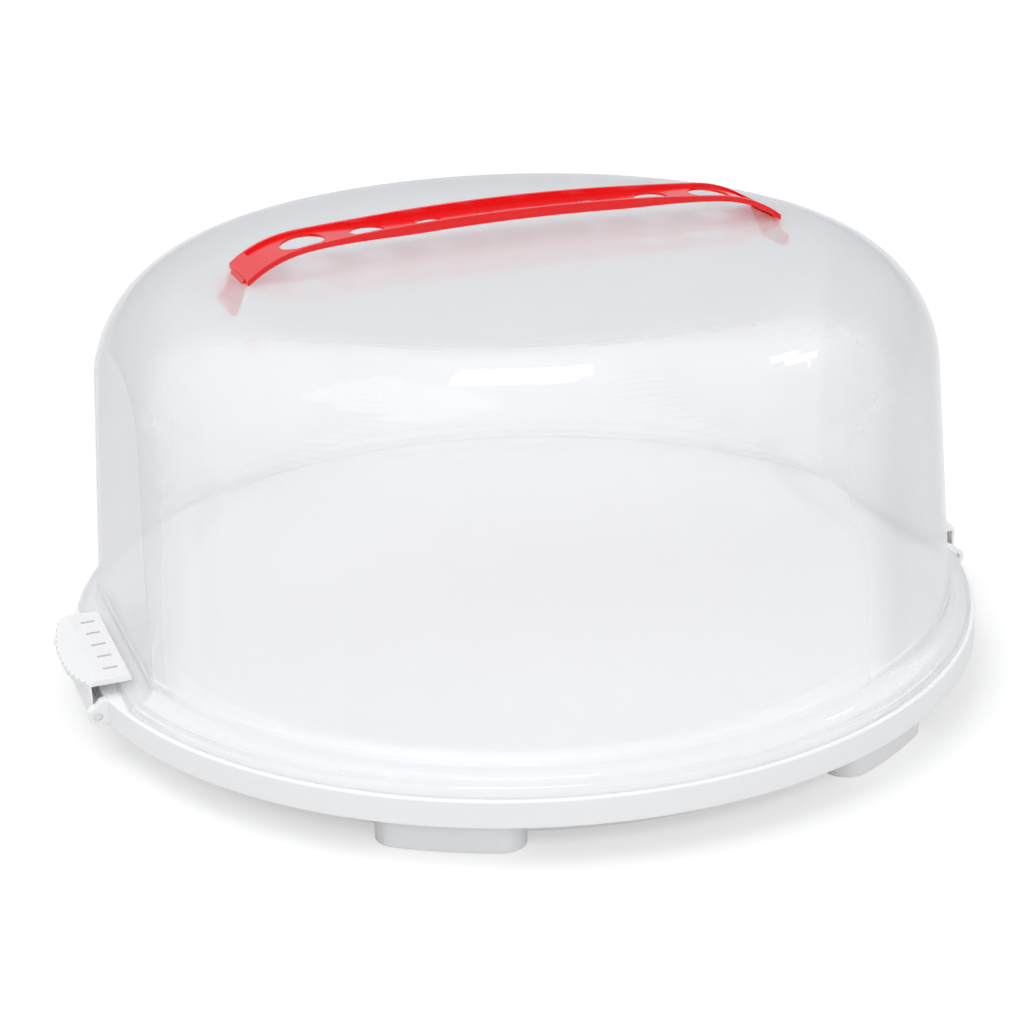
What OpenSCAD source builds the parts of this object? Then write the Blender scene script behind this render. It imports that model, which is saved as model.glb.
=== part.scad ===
// Round cake carrier: a white tray on four feet, a clear dome with two flat sides,
// a red strap handle held in the dome by its tongues, and two side latches hinged on the tray.
// X runs along the handle and through both latches, Z is up, and the feet stand on Z = 0.

/* [Tray] */
// Radius of the tray at the top of its rim
rim_r = 165; // [150:1:190]
// Height of the feet below the skirt
foot_h = 13; // [6:1:20]
// Height of the skirt that hangs from the rim
skirt_h = 9; // [8:1:12]
// How far the skirt leans out at its lower edge
skirt_lean = 0.4; // [0:0.1:1.5]
// Thickness of the tray's walls
tray_wall = 2.2; // [1.6:0.1:3]
// Rounding of the rim's outer edge
rim_round = 0.8; // [0.3:0.1:1]
// Height of the cake plate above the rim
plate_rise = 3; // [1:0.5:6]
// Width of the sloped edge of the cake plate
plate_slope = 4; // [2:0.5:8]
// Free space between the cake plate and the dome's flat sides
plate_gap = 5; // [3:0.5:12]
// How far the ring wall under the tray stands in from the rim
ring_inset = 15; // [12:1:30]
// Gap between the ring wall's lower edge and the table
ring_gap = 3.2; // [1:0.1:5]

/* [Feet] */
// How far a foot stands out from the ring wall
foot_out = 8; // [5:0.5:10]
// Length of a foot along the ring, in degrees
foot_span = 18.5; // [12:0.5:26]
// Angle of each foot away from the Y axis
foot_angle = 30; // [20:1:35]

/* [Tray ribs] */
// Number of radial ribs under the cake plate
rib_count = 12; // [6:1:24]
// Depth of the ribs
rib_h = 3.5; // [2:0.5:5]
// Thickness of the ribs
rib_t = 1.6; // [1:0.1:2.5]
// Radius of the small ring that the ribs start from
hub_r = 30; // [15:1:60]
// Radius of the middle ring
mid_ring_r = 90; // [70:1:120]

/* [Dome] */
// Height of the dome above the rim
dome_h = 133.8; // [110:0.5:170]
// Wall thickness of the dome
dome_wall = 1.5; // [1:0.1:2.5]
// Width of the rim that shows outside the dome's flange
dome_margin = 1.4; // [1:0.1:4]
// Angle by which the dome's wall leans in
wall_tilt = 4.66; // [1:0.02:8]
// Radius of the shoulder's curve
shoulder_r = 42; // [20:0.5:48]
// How far the crown rises above the top of the shoulder's circle
crown_bulge = 4.2; // [2:0.1:8]
// How far each flat side cuts into the round wall, at its foot
panel_cut = 6.5; // [5:0.1:12]
// How far the flat sides lean in over the dome's height
panel_lean = 7; // [2:0.5:12]
// Width of the flange outside the wall
flange_w = 7.6; // [6:0.1:8]
// Height of the flange's rounded edge
flange_h = 3.6; // [3:0.1:5]
// Radius of that rounded edge
bead_r = 2; // [1.6:0.1:2.6]
// Slope of the flange's top, in degrees
flange_slope = 9; // [4:1:14]
// Radius of the hollow curve between flange and wall
flange_fillet = 4; // [3:0.1:5]
// Depth of the fine ledge round the foot of the wall
ledge_step = 0.6; // [0.2:0.1:1]
// Height of the fine ledge above the rim
ledge_h = 10; // [9.5:0.1:14]

/* [Handle] */
// Height of the strap's highest point above the dome
strap_rise = 11; // [8:0.1:20]
// Width of the strap in the middle
strap_w = 21.4; // [16:0.2:24]
// Width of the strap's ends
strap_end_w = 25.5; // [20:0.5:32]
// Height of the strap's side flanges in the middle
strap_t = 3.4; // [2.6:0.1:5]
// Thickness of the strap's ends
strap_end_t = 2; // [1.6:0.1:3]
// Thickness of the side flanges
strap_edge = 1.4; // [1:0.1:2.4]
// Thickness of the web between the side flanges
web_t = 0.9; // [0.8:0.1:1.5]
// Length of the solid end outside the channel
channel_end = 5; // [3:0.5:12]
// Distance of the strap's ends from the start of the dome's shoulder
strap_inset = 8.4; // [4:0.2:20]
// Height of the strap's ends above the dome's skin
end_rise = 1.7; // [1:0.1:1.9]
// Radius of the strap's long upper curve
strap_arch_r = 805; // [500:5:1500]
// Length of each bent end
end_l = 24.5; // [15:0.5:35]
// Slope of the strap at its very end, in degrees
end_slope = 38; // [25:1:45]
// Where the side flanges start to get lower, from the middle
thin_x = 34; // [20:1:45]
// Where the strap starts to widen, from the middle
widen_x = 50; // [30:1:65]
// Places of the holes, as parts of the way from the middle to an end
hole_at = [0.102, 0.307, 0.536, 0.77];
// Diameters of the same holes
hole_d = [7.5, 10, 12.4, 15.6];

/* [Tongues] */
// Width of each tongue
tongue_w = 16; // [10:0.5:20]
// Thickness of each tongue
tongue_t = 2; // [1.2:0.1:3]
// Length of each tongue below the dome's skin
tongue_l = 12; // [8:0.5:18]
// Angle of each tongue from upright, in degrees
tongue_tilt = 24; // [0:1:35]
// How far the tongue's outer face passes the strap's end
tongue_out = 0.6; // [0.2:0.1:1]
// Size of the catch at the tongue's end
barb = 1.6; // [0.8:0.1:3]
// Free space round a tongue in its slot
slot_gap = 0.4; // [0.2:0.1:1]

/* [Latches] */
// Width of a latch
latch_w = 58; // [40:1:70]
// Thickness of a latch's walls
latch_t = 2; // [1.4:0.1:2.4]
// Gap between the latch's top plate and the flange below it
latch_gap = 0.3; // [0.2:0.1:1]
// How far the top plate reaches in over the flange
hook_reach = 4.6; // [2:0.1:5]
// Width of the top plate up to its outer crease
plate_w = 11.4; // [9:0.1:14]
// How far the grip lip stands out beyond the crease, at its middle
lip_out = 8; // [5:0.1:12]
// How far the lip's outline falls back towards its ends
lip_bow = 4.8; // [1:0.1:6]
// Drop of the lip's outer edge below the top plate
lip_drop = 2.6; // [1:0.1:5]
// Rounding of the lip's and the plate's edges
latch_round = 0.5; // [0.2:0.1:0.9]
// Depth of the thickening under the lip
lip_root = 1.2; // [0.6:0.1:3]
// Number of grip scallops along the lip
scallops = 13; // [5:2:21]
// Radius of each scallop
scallop_r = 1.3; // [0.6:0.1:2]
// Depth of each scallop
scallop_d = 0.7; // [0.3:0.1:1]
// Plain length at each end of the scallops
scallop_end = 3; // [1:0.5:8]
// Number of slots in the top plate
slots = 5; // [3:1:7]
// Length of each slot
slot_l = 5; // [3:0.1:7]
// Width of each slot
slot_w = 1.6; // [1:0.1:2.5]
// Spacing of the slots along the latch
slot_pitch = 10.2; // [7:0.1:11]
// Distance of the slots from the plate's inner edge
slot_in = 3; // [2:0.1:5]

/* [Hinges] */
// Radius of a latch's pivot barrel
barrel_r = 2.6; // [2.4:0.1:3]
// How far the pivots stand out from the rim
hinge_out = 0.6; // [0.4:0.1:2]
// Height of the barrels above the skirt's lower edge
hinge_up = 1; // [0.5:0.1:1.4]
// Radius of the pivot pins
pin_r = 1.5; // [1:0.1:1.6]
// Length of each pivot pin
pin_l = 3.4; // [2:0.1:4]
// Free space between a pin and its bore, all round
pin_gap = 0.06; // [0.02:0.01:0.1]
// Free space between a latch and the lugs beside it
side_gap = 0.4; // [0.2:0.1:1]
// Thickness of each hinge lug
lug_t = 4; // [3:0.1:6]
// Thickness of plastic round the bore of a lug
lug_rim = 1.7; // [1.2:0.1:2.5]
// Free space between the barrel and the tray behind it
barrel_gap = 0.4; // [0.3:0.1:1]

/* [Hidden] */
$fn = 144;
eps = 0.01;
lap = 0.1;
root = 1;
round_steps = 64;
foot_steps = 10;

rim_z = foot_h + skirt_h;
plate_z = rim_z + plate_rise;
skirt_r = rim_r + skirt_lean;
ring_r = rim_r - ring_inset;
dome_r = rim_r - dome_margin - flange_w;
panel_x = dome_r - panel_cut;
panel_in = panel_x - dome_wall - ledge_step;
plate_r = panel_in - plate_gap;
hinge_x = rim_r + hinge_out;
hinge_z = foot_h + barrel_r + hinge_up;
notch_x = hinge_x - barrel_r - barrel_gap;
lug_y = latch_w / 2 + side_gap;
lug_r = pin_r + pin_gap + lug_rim;
seat_top = rim_z - 2 * lap;
flange_edge_x = panel_x + flange_w;
hook_x = flange_edge_x - hook_reach;
hook_z = rim_z + flange_h + latch_gap;
plate_top = hook_z + latch_t;
crease_x = hook_x + plate_w;

// Centres of the dome's arcs: the shoulder is tangent to the leaning wall,
// and the crown is tangent to the shoulder.
wall_foot_r = dome_r - ledge_step;
crown_drop = crown_bulge + shoulder_r;
shoulder_cz = dome_h - crown_drop;
wall_top_z = shoulder_cz + shoulder_r * sin(wall_tilt);
wall_top_r = wall_foot_r - (wall_top_z - ledge_h) * tan(wall_tilt);
shoulder_cx = wall_top_r - shoulder_r * cos(wall_tilt);
crown_r = (shoulder_cx * shoulder_cx + crown_drop * crown_drop - shoulder_r * shoulder_r)
    / (2 * crown_bulge);
crown_cz = dome_h - crown_r;
crown_angle = atan2(shoulder_cz - crown_cz, shoulder_cx);

// Points along an arc, from angle a to angle b
function arc(cx, cz, r, a, b, n) =
    [for (i = [0:n]) [cx + r * cos(a + (b - a) * i / n), cz + r * sin(a + (b - a) * i / n)]];

// The flange's section, from its lower outer corner to the fine ledge.
// base is where the wall starts, and inset moves it in by the wall thickness.
function flange_section(base, inset) =
    let (
        bead = arc(base + flange_w - bead_r, flange_h - bead_r, bead_r - inset, 0, 90 - flange_slope, 6),
        hollow = arc(base + flange_fillet, flange_h + flange_fillet, flange_fillet + inset,
            270 - flange_slope, 180 + wall_tilt, 10)
    )
    concat(
        [[base + flange_w - inset, 0]],
        bead,
        hollow,
        [[base - inset, ledge_h - ledge_step]],
        [[base - inset - ledge_step, ledge_h]]
    );

// Half section of the round dome, closed on the axis
function dome_section(inset) = concat(
    [[0, 0]],
    flange_section(dome_r, inset),
    arc(shoulder_cx, shoulder_cz, shoulder_r - inset, wall_tilt, crown_angle, 28),
    arc(0, crown_cz, crown_r - inset, crown_angle, 90, 16)
);

// Half section of the slab that cuts the two flat sides
function panel_section(inset) = concat(
    flange_section(panel_x, inset),
    [[panel_x - ledge_step - inset - panel_lean, dome_h + root]]
);

function mirrored(points) =
    [for (i = [len(points) - 1:-1:0]) [-points[i][0], points[i][1]]];

// Solid dome shape, outside for inset 0 and inside for the wall thickness
module dome_form(inset) {
    translate([0, 0, rim_z])
        intersection() {
            rotate_extrude() polygon(dome_section(inset));
            rotate([90, 0, 0])
                linear_extrude(height = 3 * dome_r, center = true)
                    polygon(concat(panel_section(inset), mirrored(panel_section(inset))));
        }
}

// Height of the dome's outer skin above the rim, at a distance x from the axis
function crown_z(x) = crown_cz + sqrt(crown_r * crown_r - x * x);

// Where the strap ends, and where a tongue passes through the dome's skin
strap_half = shoulder_cx - strap_inset;
slot_x = strap_half + tongue_out - tongue_t / 2;
slot_z = rim_z + crown_z(slot_x);

module at_slot() {
    translate([slot_x, 0, slot_z]) rotate([0, -tongue_tilt, 0]) children();
}

module dome() {
    color([0.86, 0.9, 0.95, 0.4])
        difference() {
            dome_form(0);
            translate([0, 0, -eps]) dome_form(dome_wall);
            for (side = [0, 1]) mirror([side, 0, 0]) at_slot()
                cube([tongue_t + 2 * slot_gap, tongue_w + 2 * slot_gap, 4 * dome_wall], center = true);
        }
}

// Height of the strap's upper edge above the rim: a long arch, then a smooth bend
// that ends a little above the dome's skin
strap_top = dome_h + strap_rise;
bend_x = strap_half - end_l;
bend_a = asin(bend_x / strap_arch_r);
bend_z = strap_top - strap_arch_r * (1 - cos(bend_a));
end_z = crown_z(strap_half) + end_rise;
function bend_path(t) =
    bend_z * (2 * t * t * t - 3 * t * t + 1) - end_l * tan(bend_a) * (t * t * t - 2 * t * t + t)
    + end_z * (3 * t * t - 2 * t * t * t) - end_l * tan(end_slope) * (t * t * t - t * t);
function strap_z(x) =
    x <= bend_x ? strap_top - strap_arch_r + sqrt(strap_arch_r * strap_arch_r - x * x) :
    bend_path((x - bend_x) / end_l);

// Smooth change from 0 to 1 between two distances from the middle
function ease(x, from, to) =
    let (s = min(1, max(0, (x - from) / (to - from)))) s * s * (3 - 2 * s);

// Thickness of the strap, which thins towards its ends
function strap_th(x) = strap_t + (strap_end_t - strap_t) * ease(x, thin_x, bend_x);

// Half width of the strap, which widens towards its ends
function strap_hw(x) = strap_w / 2 + (strap_end_w - strap_w) / 2 * ease(x, widen_x, strap_half);

strap_steps = 40;
function strap_x(i) = strap_half * i / strap_steps;

// Side view of one half of the strap, or of what lies above its web
module strap_side(above_web) {
    upper = [for (i = [0:strap_steps])
        [strap_x(i), strap_z(strap_x(i)) + (above_web ? strap_t : 0)]];
    lower = [for (i = [strap_steps:-1:0])
        [strap_x(i), strap_z(strap_x(i)) - strap_th(strap_x(i)) + (above_web ? web_t : 0)]];
    translate([0, 0, rim_z]) rotate([90, 0, 0])
        linear_extrude(height = 2 * strap_end_w, center = true) polygon(concat(upper, lower));
}

// Plan of one half of the strap, pulled in by inset, up to a distance reach
module strap_plan(inset, reach) {
    steps = strap_steps / 2;
    far = [for (i = [0:steps]) [reach * i / steps, strap_hw(reach * i / steps) - inset]];
    near = [for (i = [steps:-1:0]) [reach * i / steps, inset - strap_hw(reach * i / steps)]];
    linear_extrude(height = rim_z + strap_top + 2 * strap_t) polygon(concat(far, near));
}

// One half of the strap with its channel
module strap_half_body() {
    difference() {
        intersection() {
            strap_side(false);
            strap_plan(0, strap_half);
        }
        intersection() {
            strap_side(true);
            translate([-eps, 0, 0]) strap_plan(strap_edge, strap_half - channel_end);
        }
        for (i = [0:len(hole_at) - 1])
            translate([hole_at[i] * strap_half, 0, 0])
                cylinder(h = 2 * (rim_z + strap_top), r = hole_d[i] / 2);
    }
}

// The tongue and the catch on its lower end
module tongue() {
    at_slot() {
        translate([-tongue_t / 2, -tongue_w / 2, -tongue_l])
            cube([tongue_t, tongue_w, tongue_l + end_rise / 2]);
        rotate([90, 0, 0])
            linear_extrude(height = tongue_w, center = true)
                polygon([
                    [tongue_t / 2 - eps, -tongue_l],
                    [tongue_t / 2 + barb, -tongue_l + barb],
                    [tongue_t / 2 + barb, -tongue_l + 2 * barb],
                    [tongue_t / 2 - eps, -tongue_l + 3 * barb]
                ]);
    }
}

module handle() {
    color([0.86, 0.12, 0.16])
        for (side = [0, 1]) mirror([side, 0, 0]) {
            difference() {
                strap_half_body();
                dome_form(0);
            }
            tongue();
        }
}

// Section of the tray, from the middle of the plate round to its underside
tray_section = concat(
    [[0, plate_z], [plate_r - plate_slope, plate_z], [plate_r, rim_z]],
    arc(rim_r - rim_round, rim_z - rim_round, rim_round, 90, 0, 5),
    [
        [skirt_r, foot_h],
        [skirt_r - tray_wall, foot_h],
        [rim_r - tray_wall, rim_z - tray_wall],
        [ring_r, rim_z - tray_wall],
        [ring_r, ring_gap],
        [ring_r - tray_wall, ring_gap],
        [ring_r - tray_wall, rim_z - tray_wall],
        [plate_r - root, rim_z - tray_wall],
        [plate_r - plate_slope - root, plate_z - tray_wall],
        [0, plate_z - tray_wall]
    ]
);

// Outline of one foot: a stretch of the ring with rounded ends, rooted inside the ring wall
module foot_outline(inset) {
    out = foot_out - inset;
    root_r = ring_r - tray_wall / 2 - inset;
    half = foot_span / 2 - atan(foot_out / ring_r);
    near = half * (1 - 2 / foot_steps);
    end_a = half + atan(out / ring_r);
    end_x = ring_r * cos(half);
    end_y = ring_r * sin(half);
    polygon(concat(
        arc(0, 0, root_r, end_a, -end_a, foot_steps),
        arc(end_x, -end_y, out, -half - 90, -half, foot_steps),
        arc(0, 0, ring_r + out, -near, near, foot_steps),
        arc(end_x, end_y, out, half, half + 90, foot_steps)
    ));
}

module foot() {
    difference() {
        linear_extrude(height = rim_z - tray_wall + lap) foot_outline(0);
        translate([0, 0, -eps])
            linear_extrude(height = rim_z - 2 * tray_wall) foot_outline(tray_wall);
    }
}

module ribs() {
    top = plate_z - tray_wall;
    for (i = [0:rib_count - 1]) rotate(360 * (i + 0.5) / rib_count)
        translate([hub_r - rib_t / 2, -rib_t / 2, top - rib_h])
            cube([plate_r - plate_slope - hub_r, rib_t, rib_h + lap]);
    for (r = [hub_r, mid_ring_r])
        translate([0, 0, top - rib_h])
            difference() {
                cylinder(h = rib_h + lap, r = r);
                translate([0, 0, -root]) cylinder(h = rib_h + 2 * root, r = r - rib_t);
            }
}

// A hinge lug beside a latch, with its bore
module lug() {
    rear_x = notch_x - tray_wall;
    translate([0, lug_y + lug_t, 0]) rotate([90, 0, 0])
        linear_extrude(height = lug_t)
            union() {
                translate([hinge_x, hinge_z]) circle(r = lug_r, $fn = round_steps);
                polygon([
                    [rear_x - root, foot_h],
                    [hinge_x, hinge_z - lug_r],
                    [hinge_x + lug_r - lap, hinge_z],
                    [rim_r - root, seat_top],
                    [rear_x - root, seat_top]
                ]);
            }
}

// The straight wall and the two lugs that carry a latch
module latch_seat() {
    translate([notch_x - tray_wall, -lug_y - lug_t, foot_h])
        cube([tray_wall, 2 * (lug_y + lug_t), seat_top - foot_h]);
    for (side = [0, 1]) mirror([0, side, 0]) lug();
}

module latch_bores() {
    translate([hinge_x, 0, hinge_z]) rotate([90, 0, 0])
        cylinder(h = 2 * (lug_y + lug_t + root), r = pin_r + pin_gap, center = true, $fn = round_steps);
}

module tray() {
    color([0.93, 0.93, 0.94])
        difference() {
            union() {
                difference() {
                    rotate_extrude() polygon(tray_section);
                    for (side = [0, 1]) mirror([side, 0, 0])
                        translate([notch_x, -lug_y, 0]) cube([rim_r, 2 * lug_y, rim_z + root]);
                }
                for (a = [foot_angle, -foot_angle]) for (half_turn = [0, 180])
                    rotate(90 + a + half_turn) foot();
                ribs();
                for (side = [0, 1]) mirror([side, 0, 0]) latch_seat();
            }
            for (side = [0, 1]) mirror([side, 0, 0]) latch_bores();
        }
}

// Side view of a latch: the plate that hooks over the flange, the upright wall down to the
// pivot, and the lip that a finger pulls
module latch_side() {
    wall_x = hinge_x + barrel_r - latch_t;
    lip_x = crease_x + lip_out;
    polygon([
        [hook_x, hook_z],
        [hook_x, plate_top - latch_round],
        [hook_x + latch_round, plate_top],
        [crease_x, plate_top],
        [lip_x - latch_round, plate_top - lip_drop],
        [lip_x, plate_top - lip_drop - latch_round],
        [lip_x - latch_round, plate_top - lip_drop - latch_t],
        [wall_x + latch_t, hook_z - lip_root],
        [wall_x + latch_t, hinge_z],
        [wall_x, hinge_z],
        [wall_x, hook_z]
    ]);
    translate([hinge_x, hinge_z]) circle(r = barrel_r, $fn = round_steps);
}

// Radius of the bowed outline of the lip, and where its middle lies
lip_half = latch_w / 2;
bow_r = (lip_half * lip_half + lip_bow * lip_bow) / (2 * lip_bow);
bow_cx = crease_x + lip_out - bow_r;

// A latch on the +X side, closed
module latch() {
    difference() {
        union() {
            intersection() {
                rotate([90, 0, 0]) linear_extrude(height = latch_w, center = true) latch_side();
                translate([bow_cx, 0, 0]) cylinder(h = plate_top + root, r = bow_r, $fn = 360);
            }
            translate([hinge_x, 0, hinge_z]) rotate([90, 0, 0])
                cylinder(h = latch_w + 2 * pin_l, r = pin_r, center = true, $fn = round_steps);
        }
        for (i = [0:scallops - 1]) {
            y = (i - (scallops - 1) / 2) * (latch_w - 2 * scallop_end) / (scallops - 1);
            translate([bow_cx + sqrt(bow_r * bow_r - y * y) + scallop_r - scallop_d, y, rim_z])
                cylinder(h = plate_top, r = scallop_r, $fn = 32);
        }
        for (i = [0:slots - 1])
            translate([hook_x + slot_in, (i - (slots - 1) / 2) * slot_pitch - slot_w / 2, hook_z - root])
                cube([slot_l, slot_w, latch_t + 2 * root]);
    }
}

module latch_right() {
    color([0.96, 0.96, 0.97]) latch();
}

module latch_left() {
    color([0.96, 0.96, 0.97]) mirror([1, 0, 0]) latch();
}

tray();
dome();
handle();
latch_left();
latch_right();
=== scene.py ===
# Studio view of the cake carrier: a milky clear dome over a white tray, with a red strap handle.
import math

import bpy
from mathutils import Matrix, Vector


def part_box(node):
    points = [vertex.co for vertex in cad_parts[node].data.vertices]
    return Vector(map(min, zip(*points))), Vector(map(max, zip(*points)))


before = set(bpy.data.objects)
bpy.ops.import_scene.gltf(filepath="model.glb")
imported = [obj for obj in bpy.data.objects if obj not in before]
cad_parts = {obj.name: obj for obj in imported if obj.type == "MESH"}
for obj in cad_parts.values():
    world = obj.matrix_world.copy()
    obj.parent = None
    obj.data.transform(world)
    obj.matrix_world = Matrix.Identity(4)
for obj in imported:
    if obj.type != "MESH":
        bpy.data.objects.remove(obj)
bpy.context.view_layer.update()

# The dome stands on the rim, so its lowest point gives the rim's height, in metres
RIM_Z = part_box("dome")[0].z

# The camera, fitted to the photograph's rim and dome outline. It is aimed from the rim's centre
IMAGE_SIZE = 1024
SENSOR_MM = 36.0
FOCAL_PX = 2200.0
CLIP_START = 0.01
CAMERA_DISTANCE = 0.81906
CAMERA_ELEVATION = math.radians(23.44)
CAMERA_AZIMUTH = math.radians(-20.5)
CAMERA_YAW = math.radians(-0.23)
CAMERA_PITCH = math.radians(-1.89)
CAMERA_ROLL = math.radians(-1.72)

# Suns: azimuth and elevation in degrees, strength, and the angle that softens the shadow
KEY = (-105, 62, 1.16, 50)
FILL = (0, 24, 1.05, 60)

# Soft boxes: place, target, width and height in metres, power in watts, and roll in degrees
RIGHT_HIT = Vector((0.045, -0.13, 0.159))
RIGHT_WAY = (90, 42, 1.0)
TOP_BOX = ((0.03, 0.03, 1.2), (0.03, 0.03, 0), 0.37, 0.34, 4.5, -34.5)
LEFT_BOX = ((-0.55, -0.2, 1.2), (-0.09, -0.1, 0.16), 0.75, 0.6, 4.0, 0.0)
RIGHT_BOX_SIZE = (0.12, 0.2, 2.0, 0.0)

# The world: an even light, and a grey ramp from the horizon up that only gloss shows
WORLD_LIGHT = 0.62
WORLD_TINT = (0.97, 0.985, 1)
WORLD_WHITE = (1, 1, 1)
STUDIO_HORIZON = (0.55, 0.57, 0.6)
STUDIO_LOW = (0.64, 0.66, 0.69)
STUDIO_LOW_AT = 0.12
STUDIO_TOP = (1.0, 1.01, 1.03)

# The floor: its own colour takes the shadow, and its glow brings it up to white
FLOOR_COLOUR = (0.54, 0.54, 0.54)
FLOOR_GLOW = 0.505
FLOOR_REACH = 6.0
FLOOR_DROP = 0.0002

# Moulded plastics: colour, roughness, strength of the grain, and depth of the mottle
TRAY_LOOK = ((0.9, 0.901, 0.906), 0.42, 0.08, 0.03)
LATCH_LOOK = ((0.85, 0.85, 0.855), 0.38, 0.06, 0.02)
HANDLE_LOOK = ((0.85, 0.006, 0.008), 0.17, 0.03, 0.08)
PLASTIC_IOR = 1.49
GLOW_WEIGHT = 0.12
GLOW_DEPTH = 0.002
GRAIN_SCALE = 1400.0
GRAIN_DETAIL = 3.0
GRAIN_HEIGHT = 0.0003
MOTTLE_SCALE = 18.0
MOTTLE_DETAIL = 2.0

# The dome's clear part, and its small-angle scatter that blurs what lies far behind it
DOME_TINT = (0.98, 0.984, 0.99)
BLUR_FACING = 0.5
BLUR_EDGE = 0.12
BLUR_ROUGHNESS = 0.24
BLUR_IOR = 1.14

# The dome's milky haze, from a wall that faces the view to one seen edge on
HAZE_COLOUR = (0.885, 0.893, 0.91)
HAZE_FACING = 0.2
HAZE_EDGE = 0.36
HAZE_ROUGHNESS = 0.5
# Share of the haze that is lit from its far side
LIT_THROUGH = 0.32
VEIL_BLEND = 0.3
CLOUD_SCALE = 9.0
CLOUD_DETAIL = 2.0
CLOUD_LOW = 0.85
CLOUD_HIGH = 1.15

# The dome's gloss, half sharp and half soft
GLOSS_SHARP = 0.045
GLOSS_SOFT = 0.36
GLOSS_SOFT_SHARE = 0.5
GLOSS_IOR = 1.37
# Share of the light on the cake plate that the milky wall scatters forward, not back
LIGHT_PASSED = 0.92


def link(obj):
    bpy.context.scene.collection.objects.link(obj)
    return obj


def make_camera():
    """A camera that looks at the rim's centre from the photograph's place."""
    look = CAMERA_ELEVATION + CAMERA_PITCH
    forward = Vector((
        math.sin(CAMERA_YAW) * math.cos(look),
        math.cos(CAMERA_YAW) * math.cos(look),
        -math.sin(look),
    ))
    level = forward.cross(Vector((0, 0, 1))).normalized()
    upright = level.cross(forward)
    right = level * math.cos(CAMERA_ROLL) + upright * math.sin(CAMERA_ROLL)
    up = upright * math.cos(CAMERA_ROLL) - level * math.sin(CAMERA_ROLL)
    pose = Matrix((right, up, -forward)).transposed().to_4x4()
    way = Vector((0, -math.cos(CAMERA_ELEVATION), math.sin(CAMERA_ELEVATION)))
    pose.translation = way * CAMERA_DISTANCE
    data = bpy.data.cameras.new("camera")
    data.sensor_width = SENSOR_MM
    data.lens = FOCAL_PX / IMAGE_SIZE * SENSOR_MM
    data.clip_start = CLIP_START
    camera = link(bpy.data.objects.new("camera", data))
    turn = Matrix.Rotation(CAMERA_AZIMUTH, 4, "Z")
    camera.matrix_world = Matrix.Translation((0, 0, RIM_Z)) @ turn @ pose
    bpy.context.scene.camera = camera


def new_material(name):
    material = bpy.data.materials.new(name)
    material.use_nodes = True
    tree = material.node_tree
    tree.nodes.clear()
    return material, tree


def add(tree, kind, **values):
    """A node of a kind, with values for its properties or input sockets."""
    node = tree.nodes.new(kind)
    for name, value in values.items():
        if name in node.bl_rna.properties:
            setattr(node, name, value)
        else:
            node.inputs[name.replace("_", " ")].default_value = value
    return node


def feed(tree, value, entry):
    """Gives an input socket a number, or links an output socket to it."""
    if isinstance(value, float):
        entry.default_value = value
    else:
        tree.links.new(value, entry)


def two_input(tree, operation, first, second):
    node = add(tree, "ShaderNodeMath", operation=operation)
    feed(tree, first, node.inputs[0])
    feed(tree, second, node.inputs[1])
    return node.outputs[0]


def mix(tree, share, first, second):
    """The first shader, with a share of the second."""
    node = add(tree, "ShaderNodeMixShader")
    for value, entry in zip((share, first, second), node.inputs):
        feed(tree, value, entry)
    return node.outputs[0]


def between(tree, source, low, high):
    """Takes 0 to 1 onto low to high."""
    node = add(tree, "ShaderNodeMapRange", To_Min=low, To_Max=high)
    feed(tree, source, node.inputs["Value"])
    return node.outputs[0]


def noise(tree, scale, detail):
    """Noise that is fixed to the piece."""
    place = add(tree, "ShaderNodeTexCoord")
    node = add(tree, "ShaderNodeTexNoise", Scale=scale, Detail=detail)
    feed(tree, place.outputs["Object"], node.inputs["Vector"])
    return node.outputs["Fac"]


def moulded_plastic(name, colour, roughness, grain, mottle):
    """Satin moulded plastic: a fine eroded grain, and a faint change of tone."""
    material, tree = new_material(name)
    shader = add(
        tree, "ShaderNodeBsdfPrincipled", Roughness=roughness, IOR=PLASTIC_IOR,
        Subsurface_Weight=GLOW_WEIGHT, Subsurface_Radius=(1.0, 1.0, 1.0), Subsurface_Scale=GLOW_DEPTH,
    )
    bump = add(tree, "ShaderNodeBump", Strength=grain, Distance=GRAIN_HEIGHT)
    feed(tree, noise(tree, GRAIN_SCALE, GRAIN_DETAIL), bump.inputs["Height"])
    deep = [channel * (1 - mottle) for channel in colour]
    tone = add(tree, "ShaderNodeMixRGB", blend_type="MIX", Color1=(*colour, 1), Color2=(*deep, 1))
    feed(tree, noise(tree, MOTTLE_SCALE, MOTTLE_DETAIL), tone.inputs["Fac"])
    feed(tree, tone.outputs["Color"], shader.inputs["Base Color"])
    feed(tree, bump.outputs["Normal"], shader.inputs["Normal"])
    out = add(tree, "ShaderNodeOutputMaterial")
    feed(tree, shader.outputs["BSDF"], out.inputs["Surface"])
    return material


def dome_view(tree, facing):
    """What shows through the dome: partly straight, partly blurred."""
    clear = add(tree, "ShaderNodeBsdfTransparent", Color=(*DOME_TINT, 1))
    scatter = add(
        tree, "ShaderNodeBsdfRefraction", Color=(*DOME_TINT, 1),
        Roughness=BLUR_ROUGHNESS, IOR=BLUR_IOR,
    )
    share = between(tree, facing, BLUR_FACING, BLUR_EDGE)
    return mix(tree, share, clear.outputs[0], scatter.outputs[0])


def dome_haze(tree):
    """The milk in the plastic, lit from its near side and from its far side."""
    near = add(
        tree, "ShaderNodeBsdfPrincipled", Base_Color=(*HAZE_COLOUR, 1),
        Roughness=HAZE_ROUGHNESS, IOR=PLASTIC_IOR, Specular_IOR_Level=0.0,
    )
    far = add(tree, "ShaderNodeBsdfTranslucent", Color=(*HAZE_COLOUR, 1))
    return mix(tree, LIT_THROUGH, near.outputs[0], far.outputs[0])


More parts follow.
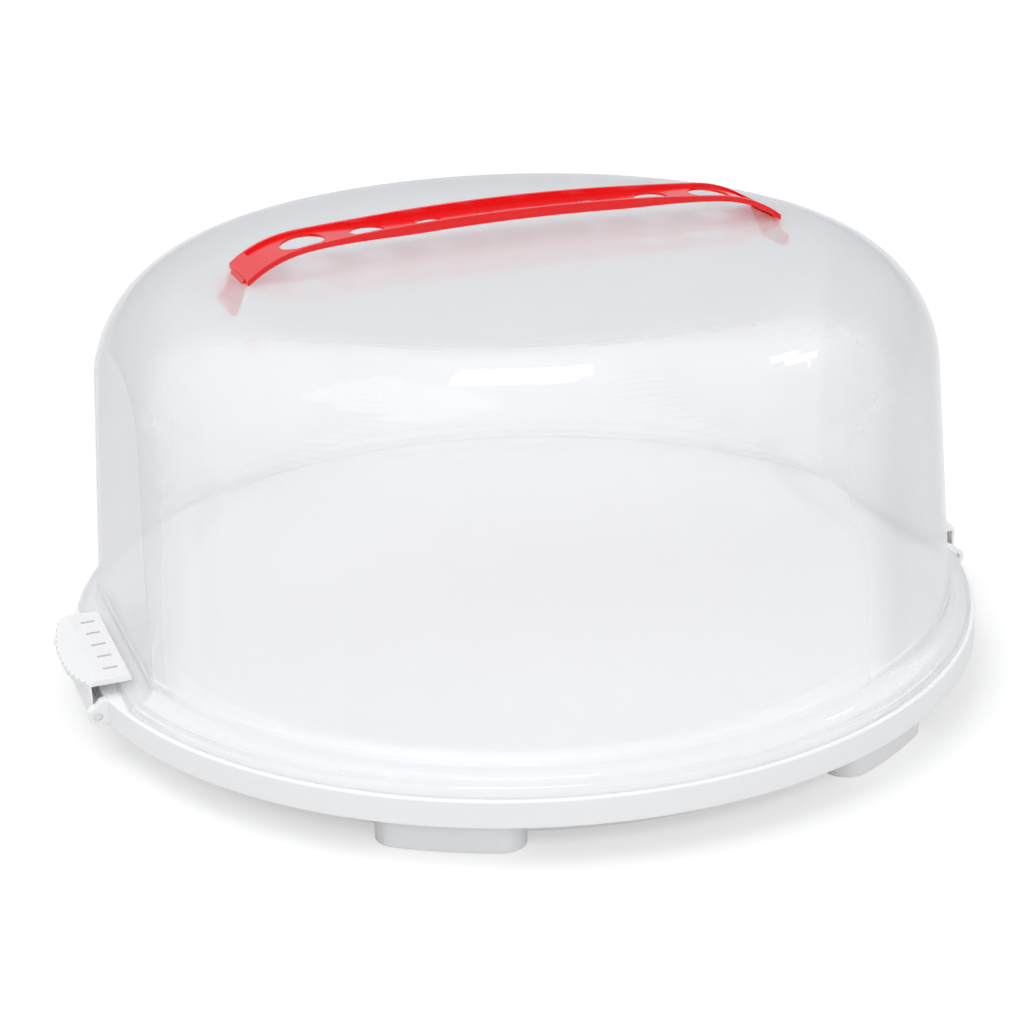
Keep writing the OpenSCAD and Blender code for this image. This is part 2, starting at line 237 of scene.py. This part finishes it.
def dome_haze_share(tree, facing):
    amount = between(tree, facing, HAZE_FACING, HAZE_EDGE)
    cloud = between(tree, noise(tree, CLOUD_SCALE, CLOUD_DETAIL), CLOUD_LOW, CLOUD_HIGH)
    return two_input(tree, "MULTIPLY", amount, cloud)


def dome_gloss(tree):
    sharp = add(tree, "ShaderNodeBsdfGlossy", Roughness=GLOSS_SHARP)
    soft = add(tree, "ShaderNodeBsdfGlossy", Roughness=GLOSS_SOFT)
    return mix(tree, GLOSS_SOFT_SHARE, sharp.outputs[0], soft.outputs[0])


def dome_gloss_share(tree):
    """Each wall has two faces, and only the one that a ray meets first reflects."""
    edge = add(tree, "ShaderNodeFresnel", IOR=GLOSS_IOR)
    side = add(tree, "ShaderNodeNewGeometry")
    front = two_input(tree, "SUBTRACT", 1.0, side.outputs["Backfacing"])
    return two_input(tree, "MULTIPLY", edge.outputs["Fac"], front)


def clear_plastic(name):
    """Thin milky clear plastic: a view through it, under a haze and a gloss."""
    material, tree = new_material(name)
    veil = add(tree, "ShaderNodeLayerWeight", Blend=VEIL_BLEND)
    facing = veil.outputs["Facing"]
    body = mix(tree, dome_haze_share(tree, facing), dome_view(tree, facing), dome_haze(tree))
    skin = mix(tree, dome_gloss_share(tree), body, dome_gloss(tree))
    path = add(tree, "ShaderNodeLightPath")
    light = two_input(
        tree, "MAXIMUM", path.outputs["Is Shadow Ray"], path.outputs["Is Diffuse Ray"]
    )
    passed = two_input(tree, "MULTIPLY", light, LIGHT_PASSED)
    open_way = add(tree, "ShaderNodeBsdfTransparent")
    out = add(tree, "ShaderNodeOutputMaterial")
    feed(tree, mix(tree, passed, skin, open_way.outputs[0]), out.inputs["Surface"])
    return material


def dress(node, material):
    """Gives a CAD node its material."""
    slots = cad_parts[node].data.materials
    slots.clear()
    slots.append(material)


def dress_pieces():
    tray_plastic = moulded_plastic("tray_plastic", *TRAY_LOOK)
    latch_plastic = moulded_plastic("latch_plastic", *LATCH_LOOK)
    handle_plastic = moulded_plastic("handle_plastic", *HANDLE_LOOK)
    dress("tray", tray_plastic)
    dress("latch_left", latch_plastic)
    dress("latch_right", latch_plastic)
    dress("handle", handle_plastic)
    dress("dome", clear_plastic("dome_plastic"))


def toward(azimuth, elevation, distance):
    """A step in a direction, with azimuth 0 to the front and 90 to the right."""
    a, e = math.radians(azimuth), math.radians(elevation)
    return Vector((math.sin(a) * math.cos(e), -math.cos(a) * math.cos(e), math.sin(e))) * distance


def soft_box(name, place, target, width, height, power, roll):
    """A soft box that shows only in the gloss, as a highlight at a place on the dome."""
    data = bpy.data.lights.new(name, "AREA")
    data.shape = "RECTANGLE"
    data.size = width
    data.size_y = height
    data.energy = power
    light = link(bpy.data.objects.new(name, data))
    aim = (Vector(target) - Vector(place)).to_track_quat("-Z", "Y").to_matrix()
    turned = aim @ Matrix.Rotation(math.radians(roll), 3, "Z")
    light.location = place
    light.rotation_euler = turned.to_euler()
    light.visible_diffuse = False


def sun(name, azimuth, elevation, strength, angle):
    """A broad even light from a direction, which leaves no glint of its own."""
    data = bpy.data.lights.new(name, "SUN")
    data.energy = strength
    data.angle = math.radians(angle)
    light = link(bpy.data.objects.new(name, data))
    way = toward(azimuth, elevation, 1.0)
    light.location = way
    light.rotation_euler = way.to_track_quat("Z", "Y").to_euler()
    light.visible_glossy = False


def make_lights():
    sun("key", *KEY)
    sun("fill", *FILL)
    soft_box("box_top", *TOP_BOX)
    soft_box("box_right", RIGHT_HIT + toward(*RIGHT_WAY), RIGHT_HIT, *RIGHT_BOX_SIZE)
    soft_box("box_left", *LEFT_BOX)


def studio_ramp(tree):
    """The grey that gloss shows, by height above the horizon."""
    place = add(tree, "ShaderNodeTexCoord")
    split = add(tree, "ShaderNodeSeparateXYZ")
    ramp = add(tree, "ShaderNodeValToRGB")
    ramp.color_ramp.interpolation = "EASE"
    stops = ramp.color_ramp.elements
    stops[0].position, stops[0].color = 0.0, (*STUDIO_HORIZON, 1)
    stops[1].position, stops[1].color = 1.0, (*STUDIO_TOP, 1)
    stops.new(STUDIO_LOW_AT).color = (*STUDIO_LOW, 1)
    feed(tree, place.outputs["Generated"], split.inputs[0])
    feed(tree, split.outputs["Z"], ramp.inputs[0])
    return ramp.outputs[0]


def make_world():
    """White where the camera looks, a graded studio in gloss, and a plain level for light."""
    world = bpy.data.worlds.new("world")
    world.use_nodes = True
    bpy.context.scene.world = world
    tree = world.node_tree
    tree.nodes.clear()
    back = add(tree, "ShaderNodeBackground", Color=(*WORLD_WHITE, 1), Strength=1.0)
    light = add(tree, "ShaderNodeBackground", Color=(*WORLD_TINT, 1), Strength=WORLD_LIGHT)
    studio = add(tree, "ShaderNodeBackground", Strength=1.0)
    feed(tree, studio_ramp(tree), studio.inputs["Color"])
    path = add(tree, "ShaderNodeLightPath")
    seen = two_input(
        tree, "MAXIMUM", path.outputs["Is Camera Ray"], path.outputs["Is Transmission Ray"]
    )
    unseen = mix(tree, path.outputs["Is Glossy Ray"], light.outputs[0], studio.outputs[0])
    out = add(tree, "ShaderNodeOutputWorld")
    feed(tree, mix(tree, seen, unseen, back.outputs[0]), out.inputs["Surface"])


def floor_material():
    """A diffuse floor for the shadow, and a glow for the rays that look at it."""
    material, tree = new_material("floor_white")
    matt = add(tree, "ShaderNodeBsdfDiffuse", Color=(*FLOOR_COLOUR, 1))
    glow = add(tree, "ShaderNodeEmission")
    path = add(tree, "ShaderNodeLightPath")
    seen = two_input(tree, "MAXIMUM", path.outputs["Is Camera Ray"], path.outputs["Is Glossy Ray"])
    seen = two_input(tree, "MAXIMUM", seen, path.outputs["Is Transmission Ray"])
    feed(tree, two_input(tree, "MULTIPLY", seen, FLOOR_GLOW), glow.inputs["Strength"])
    both = add(tree, "ShaderNodeAddShader")
    feed(tree, matt.outputs[0], both.inputs[0])
    feed(tree, glow.outputs[0], both.inputs[1])
    out = add(tree, "ShaderNodeOutputMaterial")
    feed(tree, both.outputs[0], out.inputs["Surface"])
    return material


def make_floor():
    """A pale floor that keeps the object's shadow and is white elsewhere."""
    mesh = bpy.data.meshes.new("floor")
    reach = FLOOR_REACH
    mesh.from_pydata(
        [(-reach, -reach, 0), (reach, -reach, 0), (reach, reach, 0), (-reach, reach, 0)],
        [], [(0, 1, 2, 3)],
    )
    floor = link(bpy.data.objects.new("floor", mesh))
    floor.location.z = -FLOOR_DROP
    mesh.materials.append(floor_material())


def main():
    bpy.context.scene.view_settings.view_transform = "Standard"
    make_camera()
    make_world()
    make_floor()
    make_lights()
    dress_pieces()


main()
